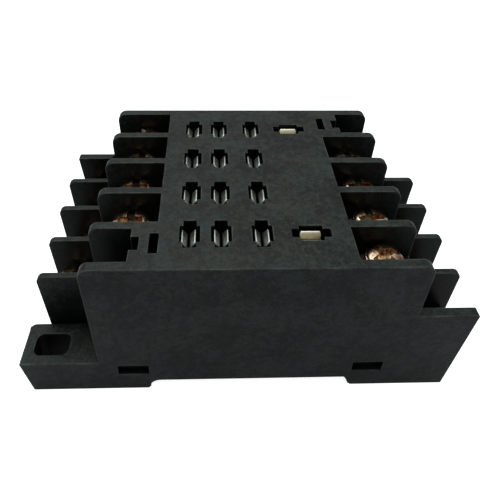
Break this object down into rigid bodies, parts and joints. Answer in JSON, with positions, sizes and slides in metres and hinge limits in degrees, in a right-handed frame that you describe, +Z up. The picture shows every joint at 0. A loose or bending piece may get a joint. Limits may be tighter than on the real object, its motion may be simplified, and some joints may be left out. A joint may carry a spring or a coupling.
{
  "type": "relay socket",
  "caption": "Plug-in relay socket with two tiers of screw terminals at each end, cross-shaped contact slots in a flat deck, a recess for a rail and slotted mounting ears.",
  "frame": {"origin": "bottom centre of the housing, midway between the two ears and between the side walls", "axes": "+Z up out of the deck that takes the relay, X from one terminal end to the other, Y across the poles"},
  "size_m": [0.08, 0.045, 0.0313],
  "materials": {
    "housing": "satin",
    "base_plate": "satin",
    "slider": "satin",
    "brass_strip": "satin",
    "contact_spring": "satin",
    "coil_spring": "satin",
    "clamp": "satin",
    "screw": "polished"
  },
  "bodies": {
    "socket": {"housing": "housing", "base_plate": "base_plate", "nc_strip_1": "brass_strip", "nc_strip_2": "brass_strip", "nc_strip_3": "brass_strip", "nc_strip_4": "brass_strip", "no_strip_1": "brass_strip", "no_strip_2": "brass_strip", "no_strip_3": "brass_strip", "no_strip_4": "brass_strip", "com_strip_1": "brass_strip", "com_strip_2": "brass_strip", "com_strip_3": "brass_strip", "com_strip_4": "brass_strip", "coil_strip_1": "brass_strip", "coil_strip_2": "brass_strip", "nc_spring_1": "contact_spring", "nc_spring_2": "contact_spring", "nc_spring_3": "contact_spring", "nc_spring_4": "contact_spring", "no_spring_1": "contact_spring", "no_spring_2": "contact_spring", "no_spring_3": "contact_spring", "no_spring_4": "contact_spring", "com_spring_1": "contact_spring", "com_spring_2": "contact_spring", "com_spring_3": "contact_spring", "com_spring_4": "contact_spring", "coil_spring_1": "coil_spring", "coil_spring_2": "coil_spring"},
    "slider": {"rail_slider": "slider"},
    "nc_1_clamp": {"nc_clamp_1": "clamp"},
    "nc_1_screw": {"nc_screw_1": "screw"},
    "nc_2_clamp": {"nc_clamp_2": "clamp"},
    "nc_2_screw": {"nc_screw_2": "screw"},
    "nc_3_clamp": {"nc_clamp_3": "clamp"},
    "nc_3_screw": {"nc_screw_3": "screw"},
    "nc_4_clamp": {"nc_clamp_4": "clamp"},
    "nc_4_screw": {"nc_screw_4": "screw"},
    "no_1_clamp": {"no_clamp_1": "clamp"},
    "no_1_screw": {"no_screw_1": "screw"},
    "no_2_clamp": {"no_clamp_2": "clamp"},
    "no_2_screw": {"no_screw_2": "screw"},
    "no_3_clamp": {"no_clamp_3": "clamp"},
    "no_3_screw": {"no_screw_3": "screw"},
    "no_4_clamp": {"no_clamp_4": "clamp"},
    "no_4_screw": {"no_screw_4": "screw"},
    "com_1_clamp": {"com_clamp_1": "clamp"},
    "com_1_screw": {"com_screw_1": "screw"},
    "com_2_clamp": {"com_clamp_2": "clamp"},
    "com_2_screw": {"com_screw_2": "screw"},
    "com_3_clamp": {"com_clamp_3": "clamp"},
    "com_3_screw": {"com_screw_3": "screw"},
    "com_4_clamp": {"com_clamp_4": "clamp"},
    "com_4_screw": {"com_screw_4": "screw"},
    "coil_1_clamp": {"coil_clamp_1": "clamp"},
    "coil_1_screw": {"coil_screw_1": "screw"},
    "coil_2_clamp": {"coil_clamp_2": "clamp"},
    "coil_2_screw": {"coil_screw_2": "screw"}
  },
  "joints": [
    {"name": "rail_latch", "type": "slide", "parent": "socket", "child": "slider", "axis": [1, 0, 0], "range_m": [0, 0.0034]},
    {"name": "nc_1_lift", "type": "slide", "parent": "socket", "child": "nc_1_clamp", "axis": [0, 0, 1], "range_m": [0, 0.0027]},
    {"name": "nc_1_turn", "type": "hinge", "parent": "nc_1_clamp", "child": "nc_1_screw", "pos_m": [-0.0209, -0.00864, 0.0255], "axis": [0, 0, 1], "range_deg": [0, 1625]},
    {"name": "nc_2_lift", "type": "slide", "parent": "socket", "child": "nc_2_clamp", "axis": [0, 0, 1], "range_m": [0, 0.0027]},
    {"name": "nc_2_turn", "type": "hinge", "parent": "nc_2_clamp", "child": "nc_2_screw", "pos_m": [-0.0209, 0, 0.0255], "axis": [0, 0, 1], "range_deg": [0, 1625]},
    {"name": "nc_3_lift", "type": "slide", "parent": "socket", "child": "nc_3_clamp", "axis": [0, 0, 1], "range_m": [0, 0.0027]},
    {"name": "nc_3_turn", "type": "hinge", "parent": "nc_3_clamp", "child": "nc_3_screw", "pos_m": [-0.0209, 0.00864, 0.0255], "axis": [0, 0, 1], "range_deg": [0, 1625]},
    {"name": "nc_4_lift", "type": "slide", "parent": "socket", "child": "nc_4_clamp", "axis": [0, 0, 1], "range_m": [0, 0.0027]},
    {"name": "nc_4_turn", "type": "hinge", "parent": "nc_4_clamp", "child": "nc_4_screw", "pos_m": [-0.0209, 0.01728, 0.0255], "axis": [0, 0, 1], "range_deg": [0, 1625]},
    {"name": "no_1_lift", "type": "slide", "parent": "socket", "child": "no_1_clamp", "axis": [0, 0, 1], "range_m": [0, 0.0027]},
    {"name": "no_1_turn", "type": "hinge", "parent": "no_1_clamp", "child": "no_1_screw", "pos_m": [-0.0324, -0.00864, 0.0115], "axis": [0, 0, 1], "range_deg": [0, 1625]},
    {"name": "no_2_lift", "type": "slide", "parent": "socket", "child": "no_2_clamp", "axis": [0, 0, 1], "range_m": [0, 0.0027]},
    {"name": "no_2_turn", "type": "hinge", "parent": "no_2_clamp", "child": "no_2_screw", "pos_m": [-0.0324, 0, 0.0115], "axis": [0, 0, 1], "range_deg": [0, 1625]},
    {"name": "no_3_lift", "type": "slide", "parent": "socket", "child": "no_3_clamp", "axis": [0, 0, 1], "range_m": [0, 0.0027]},
    {"name": "no_3_turn", "type": "hinge", "parent": "no_3_clamp", "child": "no_3_screw", "pos_m": [-0.0324, 0.00864, 0.0115], "axis": [0, 0, 1], "range_deg": [0, 1625]},
    {"name": "no_4_lift", "type": "slide", "parent": "socket", "child": "no_4_clamp", "axis": [0, 0, 1], "range_m": [0, 0.0027]},
    {"name": "no_4_turn", "type": "hinge", "parent": "no_4_clamp", "child": "no_4_screw", "pos_m": [-0.0324, 0.01728, 0.0115], "axis": [0, 0, 1], "range_deg": [0, 1625]},
    {"name": "com_1_lift", "type": "slide", "parent": "socket", "child": "com_1_clamp", "axis": [0, 0, 1], "range_m": [0, 0.0027]},
    {"name": "com_1_turn", "type": "hinge", "parent": "com_1_clamp", "child": "com_1_screw", "pos_m": [0.0209, -0.01728, 0.0255], "axis": [0, 0, 1], "range_deg": [0, 1625]},
    {"name": "com_2_lift", "type": "slide", "parent": "socket", "child": "com_2_clamp", "axis": [0, 0, 1], "range_m": [0, 0.0027]},
    {"name": "com_2_turn", "type": "hinge", "parent": "com_2_clamp", "child": "com_2_screw", "pos_m": [0.0209, -0.00864, 0.0255], "axis": [0, 0, 1], "range_deg": [0, 1625]},
    {"name": "com_3_lift", "type": "slide", "parent": "socket", "child": "com_3_clamp", "axis": [0, 0, 1], "range_m": [0, 0.0027]},
    {"name": "com_3_turn", "type": "hinge", "parent": "com_3_clamp", "child": "com_3_screw", "pos_m": [0.0209, 0, 0.0255], "axis": [0, 0, 1], "range_deg": [0, 1625]},
    {"name": "com_4_lift", "type": "slide", "parent": "socket", "child": "com_4_clamp", "axis": [0, 0, 1], "range_m": [0, 0.0027]},
    {"name": "com_4_turn", "type": "hinge", "parent": "com_4_clamp", "child": "com_4_screw", "pos_m": [0.0209, 0.00864, 0.0255], "axis": [0, 0, 1], "range_deg": [0, 1625]},
    {"name": "coil_1_lift", "type": "slide", "parent": "socket", "child": "coil_1_clamp", "axis": [0, 0, 1], "range_m": [0, 0.0027]},
    {"name": "coil_1_turn", "type": "hinge", "parent": "coil_1_clamp", "child": "coil_1_screw", "pos_m": [0.0324, -0.00864, 0.0115], "axis": [0, 0, 1], "range_deg": [0, 1625]},
    {"name": "coil_2_lift", "type": "slide", "parent": "socket", "child": "coil_2_clamp", "axis": [0, 0, 1], "range_m": [0, 0.0027]},
    {"name": "coil_2_turn", "type": "hinge", "parent": "coil_2_clamp", "child": "coil_2_screw", "pos_m": [0.0324, 0, 0.0115], "axis": [0, 0, 1], "range_deg": [0, 1625]}
  ],
  "couplings": [
    {"joint": "nc_1_turn", "follows": "nc_1_lift", "rad_per_m": 10472},
    {"joint": "nc_2_turn", "follows": "nc_2_lift", "rad_per_m": 10472},
    {"joint": "nc_3_turn", "follows": "nc_3_lift", "rad_per_m": 10472},
    {"joint": "nc_4_turn", "follows": "nc_4_lift", "rad_per_m": 10472},
    {"joint": "no_1_turn", "follows": "no_1_lift", "rad_per_m": 10472},
    {"joint": "no_2_turn", "follows": "no_2_lift", "rad_per_m": 10472},
    {"joint": "no_3_turn", "follows": "no_3_lift", "rad_per_m": 10472},
    {"joint": "no_4_turn", "follows": "no_4_lift", "rad_per_m": 10472},
    {"joint": "com_1_turn", "follows": "com_1_lift", "rad_per_m": 10472},
    {"joint": "com_2_turn", "follows": "com_2_lift", "rad_per_m": 10472},
    {"joint": "com_3_turn", "follows": "com_3_lift", "rad_per_m": 10472},
    {"joint": "com_4_turn", "follows": "com_4_lift", "rad_per_m": 10472},
    {"joint": "coil_1_turn", "follows": "coil_1_lift", "rad_per_m": 10472},
    {"joint": "coil_2_turn", "follows": "coil_2_lift", "rad_per_m": 10472}
  ]
}
